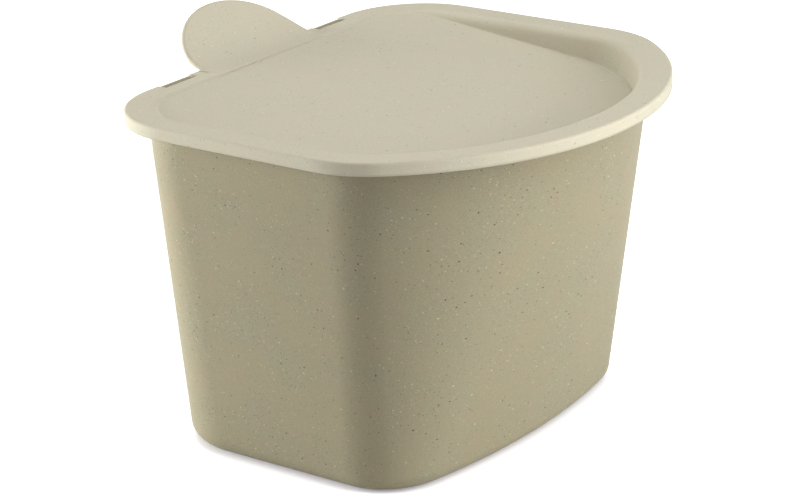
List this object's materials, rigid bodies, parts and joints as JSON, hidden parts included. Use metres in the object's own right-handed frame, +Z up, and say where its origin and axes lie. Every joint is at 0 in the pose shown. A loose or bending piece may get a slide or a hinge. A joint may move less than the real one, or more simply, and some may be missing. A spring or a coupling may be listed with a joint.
{
  "type": "compost bin",
  "caption": "Kitchen compost bin: a tapered speckled bioplastic pail with a rim lip, whose dished lid with a thumb tab swings open on snap hooks at the back.",
  "frame": {"origin": "middle of the base's outline at the level of the floor it stands on", "axes": "+Z up, +Y towards the hinge and the thumb tab, -Y towards the bowed front, +X to the right seen from the front"},
  "size_m": [0.265, 0.2684, 0.2075],
  "materials": {
    "bin_plastic": "matte, fine light and dark speckles",
    "lid_plastic": "matte, fine light and dark speckles"
  },
  "bodies": {
    "bin": {"bin_body": "bin_plastic"},
    "lid": {"lid": "lid_plastic"}
  },
  "joints": [
    {"name": "lid_hinge", "type": "hinge", "parent": "bin", "child": "lid", "pos_m": [0, 0.0945, 0.18133], "axis": [-1, 0, 0], "range_deg": [0, 135]}
  ]
}
